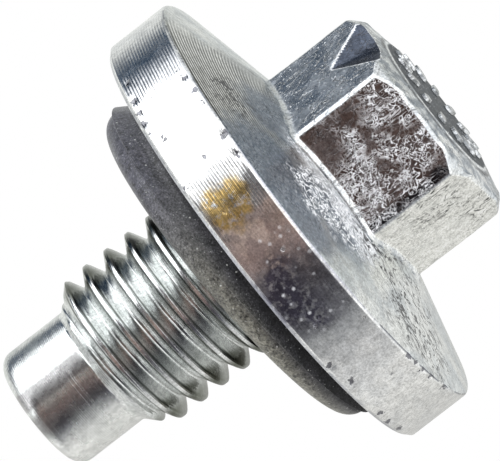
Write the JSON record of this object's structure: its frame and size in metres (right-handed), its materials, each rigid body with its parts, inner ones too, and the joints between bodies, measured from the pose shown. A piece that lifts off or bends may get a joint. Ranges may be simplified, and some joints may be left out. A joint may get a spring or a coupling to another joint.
{
  "type": "oil drain plug",
  "caption": "Hex-flange drain plug with a coarse M12 thread, a plain pilot point and a rubber ring seated under its flange.",
  "frame": {"origin": "on the plug's axis, in the plane that the raised marks on the head stand on", "axes": "+Z along the plug's axis from the head to the pilot end, which is the way it is screwed in; one flat of the hexagon faces -Y"},
  "size_m": [0.032, 0.032, 0.0334],
  "materials": {
    "zinc_plated_steel": "bright zinc plating, turned and forged",
    "black_rubber": "satin moulded rubber"
  },
  "bodies": {
    "root": {"drain_plug": "zinc_plated_steel", "seal_ring": "black_rubber"}
  },
  "joints": []
}
